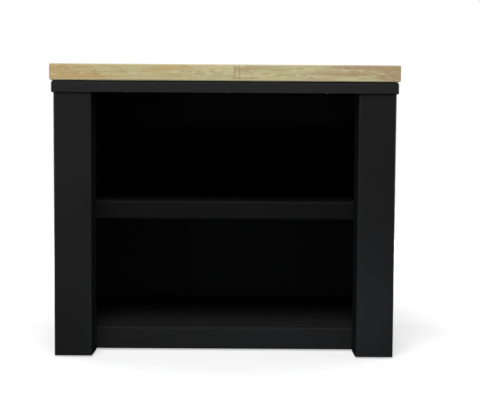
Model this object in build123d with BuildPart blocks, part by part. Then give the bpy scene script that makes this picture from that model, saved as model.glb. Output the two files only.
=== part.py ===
from build123d import *
import os

# Serving table: a solid wood worktop on a cabinet of folded, powder-coated sheet steel.
# Millimetres. +X is to the right of someone facing the table, -Y is the front, +Z is up.
# The origin is on the floor, under the middle of the worktop.

# Worktop
table_height = 760.0
top_width = 900.0
top_depth = 500.0
top_thickness = 42.0
top_edge_round = 4.0

# Sheet steel
sheet = 2.0
bend_inside = 4.0
bend_relief = 1.5

# Top pan
pan_inset = 3.0
pan_height = 30.0
pan_edge_round = 8.0

# Side panels
body_inset = 5.0
foot_reveal = 4.0
post_width = 98.0
post_return = 84.0
post_lip = 14.0
rear_flange = 40.0
top_flange = 30.0
top_flange_gap = 10.0

# Back panel
back_side_gap = 0.5
back_flange = 30.0
screws_per_bay = 2

# Shelves
middle_shelf_height = 405.0
middle_shelf_flange = 50.0
bottom_shelf_flange = 60.0
shelf_hem = 15.0
shelf_front_gap = 0.5
shelf_back_gap = 1.0

# Sides of small round sections, kept few because they repeat
fastener_sides = 10
foot_pad_sides = 24

# M6 weld studs and nuts
stud_radius = 3.0
stud_length = 14.0
stud_hole_gap = 0.3
nut_bore_gap = 0.05
nut_flats = 10.0
nut_height = 6.0
shelf_stud_inset = 86.0
shelf_stud_bracket_gap = 16.0
pan_side_stud_spacing = 220.0
pan_back_stud_inset = 20.5

# M6 screws of the back panel, which run into weld nuts on it
screw_head_radius = 5.25
screw_head = 3.3
screw_length = 14.0

# Worktop screws, washers and the slots that let the wood move across its grain
wood_screw_radius = 2.5
wood_screw_bite = 25.0
wood_screw_head_radius = 5.0
wood_screw_head = 3.5
wood_screw_gap = 0.05
washer_radius = 9.0
washer_thickness = 1.5
slot_width = 7.0
slot_length = 16.0
wood_screw_spacing_x = 300.0
wood_screw_spacing_y = 260.0

# Foot brackets and M10 levelling feet
bracket_sheet = 3.0
bracket_width = 60.0
bracket_reach = 90.0
bracket_leg = 36.0
bracket_stud_spacing = 36.0
foot_stud_radius = 5.0
foot_stud_gap = 0.05
foot_hole_gap = 0.5
foot_nut_flats = 17.0
foot_nut_height = 8.0
foot_thread_length = 42.0
foot_collar_height = 6.0
foot_pad_radius = 19.0
foot_pad_taper = 54.0
foot_pad_height = 8.0
foot_pad_rim = 3.0
foot_socket_depth = 4.0
foot_hem_gap = 6.0

# Levels
worktop_bottom = table_height - top_thickness
pan_bottom = worktop_bottom - pan_height
seat_level = worktop_bottom - sheet
post_top = worktop_bottom - pan_edge_round
bottom_shelf_height = foot_reveal + bottom_shelf_flange
foot_collar_top = foot_pad_height + foot_collar_height

# Plan of the body
body_half_width = top_width / 2 - pan_inset - body_inset
body_half_depth = top_depth / 2 - pan_inset - body_inset
side_inside = body_half_width - sheet
rear_inside = body_half_depth - sheet
post_edge = body_half_width - post_width
return_back = post_return - body_half_depth
bend_outside = bend_inside + sheet
shelf_front = return_back + shelf_front_gap
shelf_back = rear_inside - bend_inside - shelf_back_gap
shelf_middle = (shelf_front + shelf_back) / 2
back_half_width = side_inside - bend_inside - back_side_gap

# Places of the fasteners and feet
stud_hole_radius = stud_radius + stud_hole_gap
nut_bore_radius = stud_radius + nut_bore_gap
top_flange_front = return_back + top_flange_gap
top_flange_back = rear_inside - back_flange - top_flange_gap
top_flange_middle = (top_flange_front + top_flange_back) / 2
side_pan_stud_x = body_half_width - (top_flange + bend_outside) / 2
back_pan_stud_y = rear_inside - (back_flange + bend_outside) / 2
back_screw_x = body_half_width - (rear_flange + bend_outside) / 2
foot_inset = post_width / 2
front_foot_y = post_return / 2 - body_half_depth
rear_foot_y = shelf_back - shelf_hem - foot_hem_gap - foot_pad_radius
bracket_stud_z = foot_collar_top + (bracket_leg + bracket_sheet + bend_inside) / 2


def span(low, high, count):
    """Centres of equal steps between two levels."""
    step = (high - low) / count
    return [low + step * (index + 0.5) for index in range(count)]


def pair(spacing):
    """Offsets of two places on either side of a middle."""
    return [-spacing / 2, spacing / 2]


lower_bay = (bottom_shelf_height, middle_shelf_height - middle_shelf_flange)
upper_bay = (middle_shelf_height, pan_bottom)
back_screw_levels = span(*lower_bay, screws_per_bay) + span(*upper_bay, screws_per_bay)
back_screw_points = [(back_screw_x, level) for level in back_screw_levels]
bracket_front = rear_foot_y - bracket_width / 2
shelf_stud_rows = [shelf_front + shelf_stud_inset, bracket_front - shelf_stud_bracket_gap]
middle_stud_z = middle_shelf_height - middle_shelf_flange / 2
bottom_stud_z = bottom_shelf_height - bottom_shelf_flange / 2
shelf_stud_points = [(y, z) for z in (middle_stud_z, bottom_stud_z) for y in shelf_stud_rows]
front_bracket_points = [(front_foot_y + row, bracket_stud_z) for row in pair(bracket_stud_spacing)]
rear_bracket_points = [(rear_foot_y + row, bracket_stud_z) for row in pair(bracket_stud_spacing)]
side_pan_points = [(side_pan_stud_x, top_flange_middle + row) for row in pair(pan_side_stud_spacing)]
back_pan_stud_spacing = 2 * (back_half_width - pan_back_stud_inset)
back_pan_points = [(column, back_pan_stud_y) for column in pair(back_pan_stud_spacing)]
wood_screw_points = [
    (wood_screw_spacing_x * column, row)
    for column in (-1, 0, 1)
    for row in pair(wood_screw_spacing_y)
]


def folded_strip(points, thickness, side):
    """Section of a folded sheet, whose outer face follows the points, with rounded bends."""
    with BuildLine() as outline:
        FilletPolyline(*points, radius=bend_inside + thickness)
        offset(amount=thickness, side=side)
    make_face(outline.edges())


def small_rounds(points, radius, mode=Mode.ADD):
    """Sections of small shanks, heads or holes at the points."""
    with Locations(*points):
        RegularPolygon(radius, fastener_sides, mode=mode)


def hexagon_nuts(points, flats, bore):
    """Sections of hexagon nuts at the points."""
    with Locations(*points):
        RegularPolygon(flats / 2, 6, major_radius=False)
    small_rounds(points, bore, Mode.SUBTRACT)


def across(y):
    """Upright plane across the table at y, seen from the front."""
    return Plane(origin=(0, y, 0), x_dir=(1, 0, 0), z_dir=(0, -1, 0))


os.makedirs("parts", exist_ok=True)


def save(piece, name):
    """Label a finished piece and write it."""
    piece.part.label = name
    export_step(piece.part, f"parts/{name}.step")


# Worktop: eased edges, blind holes for the screws in the underside
with BuildPart() as worktop:
    with BuildSketch(Plane.XY.offset(worktop_bottom)):
        Rectangle(top_width, top_depth)
    extrude(amount=top_thickness)
    fillet(worktop.edges(), top_edge_round)
    with BuildSketch(Plane.XY.offset(worktop_bottom)):
        small_rounds(wood_screw_points, wood_screw_radius + wood_screw_gap)
    extrude(amount=wood_screw_bite + wood_screw_gap, mode=Mode.SUBTRACT)
save(worktop, "worktop")

# Top pan: a lid over the body, with welded corners and slots for the worktop screws
with BuildPart() as top_pan:
    with BuildSketch(Plane.XY.offset(pan_bottom)):
        Rectangle(top_width - 2 * pan_inset, top_depth - 2 * pan_inset)
    extrude(amount=pan_height)
    pan_rim = top_pan.faces().sort_by(Axis.Z)[-1].edges()
    fillet(pan_rim + top_pan.edges().filter_by(Axis.Z), pan_edge_round)
    offset(amount=-sheet, openings=top_pan.faces().sort_by(Axis.Z)[0])
    with BuildSketch(Plane.XY.offset(worktop_bottom)):
        with Locations(*wood_screw_points):
            Rectangle(slot_width, slot_length)
    extrude(amount=-sheet, mode=Mode.SUBTRACT)
save(top_pan, "top_pan")

# Side panel: post face, return and lip at the front, side, rear flange, and a top flange with bend reliefs
with BuildPart() as right_side_panel:
    with BuildSketch(Plane.XY.offset(foot_reveal)):
        folded_strip(
            [
                (post_edge + post_lip, return_back),
                (post_edge, return_back),
                (post_edge, -body_half_depth),
                (body_half_width, -body_half_depth),
                (body_half_width, body_half_depth),
                (body_half_width - rear_flange, body_half_depth),
            ],
            sheet,
            Side.LEFT,
        )
    extrude(amount=post_top - foot_reveal)
    top_flange_length = top_flange_back - top_flange_front
    with BuildSketch(Plane.YZ.offset(body_half_width)):
        with Locations((top_flange_middle, seat_level)):
            Rectangle(top_flange_length + 2 * bend_relief, 2 * (bend_outside + bend_relief))
    extrude(amount=-sheet, mode=Mode.SUBTRACT)
    with BuildSketch(across(top_flange_middle)):
        folded_strip(
            [
                (body_half_width, seat_level - bend_outside - bend_relief),
                (body_half_width, seat_level),
                (body_half_width - top_flange, seat_level),
            ],
            sheet,
            Side.LEFT,
        )
    extrude(amount=top_flange_length / 2, both=True)
    with BuildSketch(Plane.XY.offset(seat_level)):
        small_rounds(side_pan_points, stud_hole_radius)
    extrude(amount=-sheet, mode=Mode.SUBTRACT)
    with BuildSketch(across(rear_inside)):
        small_rounds(back_screw_points, stud_hole_radius)
    extrude(amount=-sheet, mode=Mode.SUBTRACT)
save(right_side_panel, "right_side_panel")

with BuildPart() as left_side_panel:
    mirror(right_side_panel.part, about=Plane.YZ)
save(left_side_panel, "left_side_panel")

# Back panel: held against the rear flanges, its top folded forward under the pan
with BuildPart() as back_panel:
    with BuildSketch(Plane.YZ):
        folded_strip(
            [
                (rear_inside, foot_reveal),
                (rear_inside, seat_level),
                (rear_inside - back_flange, seat_level),
            ],
            sheet,
            Side.LEFT,
        )
    extrude(amount=back_half_width)
    with BuildSketch(across(rear_inside)):
        small_rounds(back_screw_points, stud_hole_radius)
    extrude(amount=sheet, mode=Mode.SUBTRACT)
    mirror(about=Plane.YZ)
    with BuildSketch(Plane.XY.offset(seat_level)):
        small_rounds(back_pan_points, stud_hole_radius)
    extrude(amount=-sheet, mode=Mode.SUBTRACT)
save(back_panel, "back_panel")


# Shelf pans: hemmed front and rear flanges, and end flanges that hang on the studs of the side panels
# The bottom one also takes the studs of the rear foot brackets.
shelves = [
    ("middle_shelf", middle_shelf_height, middle_shelf_flange, middle_stud_z, []),
    ("bottom_shelf", bottom_shelf_height, bottom_shelf_flange, bottom_stud_z, rear_bracket_points),
]
shelf_end_length = shelf_back - shelf_front - 2 * bend_outside - 2 * bend_relief

for shelf_name, height, flange, stud_z, extra_points in shelves:
    with BuildPart() as shelf:
        with BuildSketch(Plane.YZ):
            folded_strip(
                [
                    (shelf_front + shelf_hem, height - flange),
                    (shelf_front, height - flange),
                    (shelf_front, height),
                    (shelf_back, height),
                    (shelf_back, height - flange),
                    (shelf_back - shelf_hem, height - flange),
                ],
                sheet,
                Side.RIGHT,
            )
        extrude(amount=side_inside)
        with BuildSketch(Plane.XY.offset(height)):
            with Locations((side_inside, shelf_middle)):
                Rectangle(2 * (bend_outside + bend_relief), shelf_end_length + 2 * bend_relief)
        extrude(amount=-sheet, mode=Mode.SUBTRACT)
        with BuildSketch(across(shelf_middle)):
            folded_strip(
                [
                    (side_inside - bend_outside - bend_relief, height),
                    (side_inside, height),
                    (side_inside, height - flange + sheet + bend_relief),
                ],
                sheet,
                Side.RIGHT,
            )
        extrude(amount=shelf_end_length / 2, both=True)
        with BuildSketch(Plane.YZ.offset(side_inside)):
            small_rounds([(y, stud_z) for y in shelf_stud_rows] + extra_points, stud_hole_radius)
        extrude(amount=-sheet, mode=Mode.SUBTRACT)
        mirror(about=Plane.YZ)
    save(shelf, shelf_name)

# Weld studs of the side panels and the nuts on them
with BuildPart() as right_weld_studs:
    with BuildSketch(Plane.YZ.offset(side_inside)):
        small_rounds(shelf_stud_points + front_bracket_points + rear_bracket_points, stud_radius)
    extrude(amount=-stud_length)
save(right_weld_studs, "right_weld_studs")

with BuildPart() as left_weld_studs:
    mirror(right_weld_studs.part, about=Plane.YZ)
save(left_weld_studs, "left_weld_studs")

with BuildPart() as shelf_nuts:
    with BuildSketch(Plane.YZ.offset(side_inside - sheet)):
        hexagon_nuts(shelf_stud_points, nut_flats, nut_bore_radius)
    extrude(amount=-nut_height)
    mirror(about=Plane.YZ)
save(shelf_nuts, "shelf_nuts")

with BuildPart() as bracket_nuts:
    with BuildSketch(Plane.YZ.offset(side_inside - bracket_sheet)):
        hexagon_nuts(front_bracket_points, nut_flats, nut_bore_radius)
    extrude(amount=-nut_height)
    with BuildSketch(Plane.YZ.offset(side_inside - sheet - bracket_sheet)):
        hexagon_nuts(rear_bracket_points, nut_flats, nut_bore_radius)
    extrude(amount=-nut_height)
    mirror(about=Plane.YZ)
save(bracket_nuts, "bracket_nuts")

# Weld studs under the pan, and the nuts under the flanges that carry it
with BuildPart() as pan_weld_studs:
    with BuildSketch(Plane.XY.offset(seat_level)):
        small_rounds(side_pan_points, stud_radius)
    extrude(amount=-stud_length)
    mirror(about=Plane.YZ)
    with BuildSketch(Plane.XY.offset(seat_level)):
        small_rounds(back_pan_points, stud_radius)
    extrude(amount=-stud_length)
save(pan_weld_studs, "pan_weld_studs")

with BuildPart() as pan_nuts:
    with BuildSketch(Plane.XY.offset(seat_level - sheet)):
        hexagon_nuts(side_pan_points, nut_flats, nut_bore_radius)
    extrude(amount=-nut_height)
    mirror(about=Plane.YZ)
    with BuildSketch(Plane.XY.offset(seat_level - sheet)):
        hexagon_nuts(back_pan_points, nut_flats, nut_bore_radius)
    extrude(amount=-nut_height)
save(pan_nuts, "pan_nuts")

# Screws of the back panel and the weld nuts on its front
with BuildPart() as back_panel_screws:
    with BuildSketch(across(body_half_depth)):
        small_rounds(back_screw_points, screw_head_radius)
    extrude(amount=-screw_head)
    with BuildSketch(across(body_half_depth)):
        small_rounds(back_screw_points, stud_radius)
    extrude(amount=screw_length)
    mirror(about=Plane.YZ)
save(back_panel_screws, "back_panel_screws")

with BuildPart() as back_panel_weld_nuts:
    with BuildSketch(across(rear_inside - sheet)):
        hexagon_nuts(back_screw_points, nut_flats, nut_bore_radius)
    extrude(amount=nut_height)
    mirror(about=Plane.YZ)
save(back_panel_weld_nuts, "back_panel_weld_nuts")

# Worktop screws and washers, driven up from inside the upper bay
with BuildPart() as worktop_washers:
    with BuildSketch(Plane.XY.offset(seat_level)):
        small_rounds(wood_screw_points, washer_radius)
        small_rounds(wood_screw_points, wood_screw_radius + wood_screw_gap, Mode.SUBTRACT)
    extrude(amount=-washer_thickness)
save(worktop_washers, "worktop_washers")

washer_level = seat_level - washer_thickness
with BuildPart() as worktop_screws:
    with BuildSketch(Plane.XY.offset(washer_level)):
        small_rounds(wood_screw_points, wood_screw_head_radius)
    extrude(amount=-wood_screw_head)
    with BuildSketch(Plane.XY.offset(washer_level)):
        small_rounds(wood_screw_points, wood_screw_radius)
    extrude(amount=worktop_bottom + wood_screw_bite - washer_level)
save(worktop_screws, "worktop_screws")

# Corners of the table: name, side, foot's depth, and the face that the bracket bolts against
front_bracket_face = side_inside
rear_bracket_face = side_inside - sheet
corners = [
    ("front_left", -1, front_foot_y, front_bracket_face, front_bracket_points),
    ("front_right", 1, front_foot_y, front_bracket_face, front_bracket_points),
    ("rear_left", -1, rear_foot_y, rear_bracket_face, rear_bracket_points),
    ("rear_right", 1, rear_foot_y, rear_bracket_face, rear_bracket_points),
]

for corner, hand, foot_y, bracket_face, bracket_points in corners:
    foot_x = hand * (bracket_face - foot_inset)

    # Bracket: a folded angle with a clearance hole under its weld nut
    with BuildPart() as foot_bracket:
        with BuildSketch(across(foot_y)):
            folded_strip(
                [
                    (bracket_face, foot_collar_top + bracket_leg),
                    (bracket_face, foot_collar_top),
                    (bracket_face - bracket_reach, foot_collar_top),
                ],
                bracket_sheet,
                Side.RIGHT,
            )
        extrude(amount=bracket_width / 2, both=True)
        with BuildSketch(Plane.YZ.offset(bracket_face)):
            small_rounds(bracket_points, stud_hole_radius)
        extrude(amount=-bracket_sheet, mode=Mode.SUBTRACT)
        with BuildSketch(Plane.XY.offset(foot_collar_top)):
            small_rounds([(bracket_face - foot_inset, foot_y)], foot_stud_radius + foot_hole_gap)
        extrude(amount=bracket_sheet, mode=Mode.SUBTRACT)
        if hand < 0:
            mirror(about=Plane.YZ, mode=Mode.REPLACE)
    save(foot_bracket, f"{corner}_foot_bracket")

    # Foot stud: thread, and a hexagon collar to turn it by, seated against the bracket
    with BuildPart() as foot_stud:
        with BuildSketch(Plane.XY.offset(foot_pad_height)):
            with Locations((foot_x, foot_y)):
                RegularPolygon(foot_nut_flats / 2, 6, major_radius=False)
        extrude(amount=foot_collar_height)
        with BuildSketch(Plane.XY.offset(foot_pad_height - foot_socket_depth)):
            small_rounds([(foot_x, foot_y)], foot_stud_radius)
        extrude(amount=foot_socket_depth + foot_collar_height + foot_thread_length)
    save(foot_stud, f"{corner}_foot_stud")

    # Foot pad: a rim, a tapered top and a socket for the stud
    with BuildPart() as foot_pad:
        with BuildSketch():
            with Locations((foot_x, foot_y)):
                RegularPolygon(foot_pad_radius, foot_pad_sides)
        extrude(amount=foot_pad_rim)
        rim_top = foot_pad.faces().sort_by(Axis.Z)[-1]
        extrude(rim_top, amount=foot_pad_height - foot_pad_rim, taper=foot_pad_taper)
        with BuildSketch(Plane.XY.offset(foot_pad_height)):
            small_rounds([(foot_x, foot_y)], foot_stud_radius)
        extrude(amount=-foot_socket_depth, mode=Mode.SUBTRACT)
    save(foot_pad, f"{corner}_foot_pad")

with BuildPart() as foot_weld_nuts:
    with BuildSketch(Plane.XY.offset(foot_collar_top + bracket_sheet)):
        hexagon_nuts(
            [(hand * (face - foot_inset), foot_y) for _, hand, foot_y, face, _ in corners],
            foot_nut_flats,
            foot_stud_radius + foot_stud_gap,
        )
    extrude(amount=foot_nut_height)
save(foot_weld_nuts, "foot_weld_nuts")
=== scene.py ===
"""Serving table: a pale finger-jointed worktop on a cabinet of folded black sheet steel.

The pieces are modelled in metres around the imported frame, ride on its bodies and get procedural finishes.
"""

import logging
import math
from collections.abc import Callable, Sequence
from dataclasses import dataclass
from enum import Enum
from itertools import pairwise
from typing import Any, NamedTuple, Protocol

import bmesh
import bpy
from bmesh.types import BMEdge, BMesh, BMFace, BMVert
from bpy.types import Material, Node, NodeSocket, NodeTree, Object
from mathutils import Matrix, Vector


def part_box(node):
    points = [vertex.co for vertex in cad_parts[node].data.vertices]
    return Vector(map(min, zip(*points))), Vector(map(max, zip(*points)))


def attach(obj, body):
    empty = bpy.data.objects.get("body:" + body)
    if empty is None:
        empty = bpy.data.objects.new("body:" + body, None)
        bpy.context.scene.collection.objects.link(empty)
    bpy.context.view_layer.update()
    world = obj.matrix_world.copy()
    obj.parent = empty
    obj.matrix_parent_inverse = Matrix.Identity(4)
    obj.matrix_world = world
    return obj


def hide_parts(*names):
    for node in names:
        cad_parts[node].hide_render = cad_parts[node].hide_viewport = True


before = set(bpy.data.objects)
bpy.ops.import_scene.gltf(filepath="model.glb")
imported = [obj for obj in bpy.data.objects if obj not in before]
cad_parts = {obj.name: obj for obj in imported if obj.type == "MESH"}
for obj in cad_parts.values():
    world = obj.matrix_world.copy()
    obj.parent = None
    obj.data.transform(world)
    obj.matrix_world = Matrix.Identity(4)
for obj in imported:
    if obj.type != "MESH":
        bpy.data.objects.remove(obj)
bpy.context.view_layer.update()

LOG = logging.getLogger("serving_table")
CABINET = "cabinet"
# Places nearer than TOUCH count as the same, and vertices nearer than DOUBLED are joined.
TOUCH = 1e-5
DOUBLED = 1e-6
HEXAGON = 6
Triple = tuple[float, float, float]
Colour = Triple
Range = tuple[float, float]
Box = tuple[Vector, Vector]
PointTest = Callable[[Vector], bool]


class Slot(Enum):
    """Material slots of the record; a fastener set picks its finish by its slot."""

    WOOD = "pale_hardwood"
    COAT = "black_powder_coat"
    ZINC = "zinc_plate"
    SCREW = "black_screw"
    PLASTIC = "foot_plastic"


class Hand(Enum):
    """Side of the table, as the sign of X."""

    LEFT = -1
    RIGHT = 1


class Corner(Enum):
    """Corner of the table, as the frame names it."""

    FRONT_LEFT = "front_left"
    FRONT_RIGHT = "front_right"
    REAR_LEFT = "rear_left"
    REAR_RIGHT = "rear_right"


class Facing(Enum):
    """Direction that the head or the free end of a fastener points in."""

    LEFT = (-1, 0, 0)
    RIGHT = (1, 0, 0)
    BACK = (0, 1, 0)
    DOWN = (0, 0, -1)
    UP = (0, 0, 1)

    def turn(self) -> Matrix:
        """Turn that takes +Z to this direction."""
        return Vector((0, 0, 1)).rotation_difference(Vector(self.value)).to_matrix().to_4x4()

    def length(self, box: Box) -> float:
        """Length of a box along this direction."""
        return abs((box[1] - box[0]).dot(Vector(self.value)))


def near(first: float, second: float) -> bool:
    """Whether two lengths are the same but for rounding."""
    return abs(first - second) < TOUCH


def grey(tone: float) -> tuple[float, float, float, float]:
    """Grey of a tone, for a colour socket."""
    return (tone, tone, tone, 1)


class Nodes:
    """Adds nodes to one shader tree and links them."""

    def __init__(self, tree: NodeTree) -> None:
        """Keep the tree."""
        self.tree = tree

    def feed(self, socket: NodeSocket, value: Any) -> None:
        """Link a socket to an input, or set the input's own value.

        Args:
            socket: The input.
            value: A socket to link from, or a plain value.
        """
        if isinstance(value, NodeSocket):
            self.tree.links.new(value, socket)
        else:
            socket.default_value = value

    def add(self, kind: str, inputs: dict[Any, Any] | None = None, **settings: Any) -> Node:
        """Add a node.

        Args:
            kind: Blender's name of the node type.
            inputs: Values or sockets for the inputs, by name or number.
            **settings: Properties of the node.

        Returns:
            The new node.
        """
        node = self.tree.nodes.new(kind)
        for name, setting in settings.items():
            setattr(node, name, setting)
        for key, value in (inputs or {}).items():
            self.feed(node.inputs[key], value)
        return node

    def math(self, operation: str, *values: Any) -> NodeSocket:
        """Result of a Math node on the given values."""
        return self.add("ShaderNodeMath", dict(enumerate(values)), operation=operation).outputs[0]

    def vector(self, operation: str, *values: Any) -> NodeSocket:
        """Result of a Vector Math node on the given values."""
        return self.add("ShaderNodeVectorMath", dict(enumerate(values)), operation=operation).outputs[0]

    def split(self, value: NodeSocket) -> Sequence[NodeSocket]:
        """X, Y and Z of a vector."""
        return self.add("ShaderNodeSeparateXYZ", {0: value}).outputs

    def mix(self, factor: Any, first: Any, second: Any, blend: str = "MIX") -> NodeSocket:
        """Mix two colours.

        Args:
            factor: How much of the second colour shows.
            first: Colour or socket.
            second: Colour or socket.
            blend: Blend type.

        Returns:
            The mixed colour.
        """
        colours = [(*value, 1) if isinstance(value, tuple) else value for value in (first, second)]
        inputs = {0: factor, 6: colours[0], 7: colours[1]}
        return self.add("ShaderNodeMix", inputs, data_type="RGBA", blend_type=blend).outputs[2]

    def step(self, value: Any, low: float, high: float, start: float = 0, end: float = 1) -> NodeSocket:
        """Smooth step of a value: start at low and below, end at high and above."""
        inputs = {"Value": value, "From Min": low, "From Max": high, "To Min": start, "To Max": end}
        return self.add("ShaderNodeMapRange", inputs, interpolation_type="SMOOTHSTEP").outputs[0]

    def noise(self, vector: Any, scale: Any, detail: float, swirl: float = 0) -> NodeSocket:
        """Value of a Noise texture."""
        inputs = {"Vector": vector, "Scale": scale, "Detail": detail, "Distortion": swirl}
        return self.add("ShaderNodeTexNoise", inputs).outputs[0]

    def place(self) -> NodeSocket:
        """Place on the piece, in metres."""
        return self.add("ShaderNodeTexCoord").outputs["Object"]

    def bump(self, height: Any, depth: float) -> NodeSocket:
        """Normal of a surface with a height of up to a depth in metres."""
        return self.add("ShaderNodeBump", {"Height": height, "Distance": depth}).outputs[0]

    def looked_at(self) -> NodeSocket:
        """Mask of the rays that look at the background: straight on, mirrored or through glass.

        Returns:
            1 for those rays and 0 for the ones that only carry light.
        """
        path = self.add("ShaderNodeLightPath").outputs
        mirrored = self.math("MAXIMUM", path["Is Camera Ray"], path["Is Glossy Ray"])
        return self.math("MAXIMUM", mirrored, path["Is Transmission Ray"])


class Effects:
    """Shader node groups that several finishes share."""

    cloud_detail = 4
    cloud_swirl = 0.6
    cloud_range = (0.32, 0.68)
    speck_detail = 1
    speck_ratio = 2.7
    fine_share = 0.4
    coarse_share = 0.6

    def __init__(self) -> None:
        """Build each group once."""
        self.mottle_tree = self._group("surface_mottle", "Cloud", self._clouds)
        self.texture_tree = self._group("fine_texture", "Height", self._specks)

    @staticmethod
    def _group(name: str, output: str, effect: Callable[[Nodes, Any, Any], NodeSocket]) -> NodeTree:
        """Build a group that takes a place and a scale.

        Args:
            name: Name of the group.
            output: Name of its one output.
            effect: Adds the nodes between the inputs and the output.

        Returns:
            The group.
        """
        tree = bpy.data.node_groups.new(name, "ShaderNodeTree")
        tree.interface.new_socket("Vector", in_out="INPUT", socket_type="NodeSocketVector")
        tree.interface.new_socket("Scale", in_out="INPUT", socket_type="NodeSocketFloat")
        tree.interface.new_socket(output, in_out="OUTPUT", socket_type="NodeSocketFloat")
        nodes = Nodes(tree)
        given = nodes.add("NodeGroupInput").outputs
        nodes.add("NodeGroupOutput", {output: effect(nodes, given["Vector"], given["Scale"])})
        return tree

    def _clouds(self, nodes: Nodes, place: NodeSocket, scale: NodeSocket) -> NodeSocket:
        """Slow, cloudy changes over a surface."""
        return nodes.step(nodes.noise(place, scale, self.cloud_detail, self.cloud_swirl), *self.cloud_range)

    def _specks(self, nodes: Nodes, place: NodeSocket, scale: NodeSocket) -> NodeSocket:
        """Height of a fine sprayed or moulded texture.

        Args:
            nodes: The group's nodes.
            place: Place on the surface.
            scale: Scale of the coarser specks per metre.

        Returns:
            The height, from 0 to 1.
        """
        fine = nodes.noise(place, nodes.math("MULTIPLY", scale, self.speck_ratio), self.speck_detail)
        coarse = nodes.noise(place, scale, self.speck_detail)
        coarse_part = nodes.math("MULTIPLY", coarse, self.coarse_share)
        return nodes.math("MULTIPLY_ADD", fine, self.fine_share, coarse_part)

    @staticmethod
    def _use(nodes: Nodes, tree: NodeTree, place: Any, scale: float) -> NodeSocket:
        """Put a group into a material.

        Args:
            nodes: The material's nodes.
            tree: The group.
            place: Place on the surface.
            scale: Scale of the effect per metre.

        Returns:
            The group's output.
        """
        group = nodes.add("ShaderNodeGroup", node_tree=tree)
        nodes.feed(group.inputs["Vector"], place)
        nodes.feed(group.inputs["Scale"], scale)
        return group.outputs[0]

    def mottle(self, nodes: Nodes, place: Any, scale: float) -> NodeSocket:
        """Cloudy changes at a scale per metre."""
        return self._use(nodes, self.mottle_tree, place, scale)

    def texture(self, nodes: Nodes, place: Any, scale: float) -> NodeSocket:
        """Height of a fine texture at a scale per metre."""
        return self._use(nodes, self.texture_tree, place, scale)


def surface(name: str, **values: Any) -> tuple[Material, Nodes, Node]:
    """Start a material.

    Args:
        name: Name of the material.
        **values: Plain values of the shader's inputs, with _ for a space.

    Returns:
        The material, its nodes and its shader.
    """
    material = bpy.data.materials.new(name)
    material.use_nodes = True
    material.node_tree.nodes.clear()
    nodes = Nodes(material.node_tree)
    inputs = {key.replace("_", " "): value for key, value in values.items()}
    shader = nodes.add("ShaderNodeBsdfPrincipled", inputs)
    nodes.add("ShaderNodeOutputMaterial", {"Surface": shader.outputs[0]})
    return material, nodes, shader


@dataclass(frozen=True)
class CoatedFinish:
    """Paint, oxide, plate or moulded plastic: a mottled colour with a fine texture."""

    name: str
    dark: Colour
    light: Colour
    roughness: Range
    metallic: float = 0
    specular: float = 0.5
    cloud_scale: float = 7
    sheen_ratio: float = 9
    texture_scale: float = 900
    texture_depth: float = 0.00025

    def build(self, effects: Effects) -> Material:
        """Make the material.

        Args:
            effects: The shared groups.

        Returns:
            The material.
        """
        material, nodes, shader = surface(self.name, Metallic=self.metallic, Specular_IOR_Level=self.specular)
        place = nodes.place()
        cloud = effects.mottle(nodes, place, self.cloud_scale)
        fine_cloud = effects.mottle(nodes, place, self.cloud_scale * self.sheen_ratio)
        texture = effects.texture(nodes, place, self.texture_scale)
        nodes.feed(shader.inputs["Base Color"], nodes.mix(cloud, self.dark, self.light))
        nodes.feed(shader.inputs["Roughness"], nodes.step(fine_cloud, 0, 1, *self.roughness))
        nodes.feed(shader.inputs["Normal"], nodes.bump(texture, self.texture_depth))
        return material


@dataclass(frozen=True)
class Grain:
    """A noise drawn out along the board, the range that makes it a mask, and how much it counts."""

    stretch: Triple
    low: float = 0
    high: float = 1
    detail: float = 3
    swirl: float = 0
    amount: float = 1

    def noise(self, nodes: Nodes, place: NodeSocket) -> NodeSocket:
        """Value of the noise at a place."""
        return nodes.noise(nodes.vector("MULTIPLY", place, self.stretch), 1, self.detail, self.swirl)

    def mask(self, nodes: Nodes, place: NodeSocket) -> NodeSocket:
        """Mask of the noise at a place."""
        return nodes.step(self.noise(nodes, place), self.low, self.high)


class Lengths(NamedTuple):
    """What the finger-jointed lengths of the board give each point of it.

    Attributes:
        figure: Colour of the length's figure.
        shade: How light the length is.
        heart: How near the length's figured end is.
        chance: The length's own chance colour.
        across: Distance from its middle line.
        joints: Mask of the joints.
    """

    figure: NodeSocket
    shade: NodeSocket
    heart: NodeSocket
    chance: NodeSocket
    across: NodeSocket
    joints: NodeSocket


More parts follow.
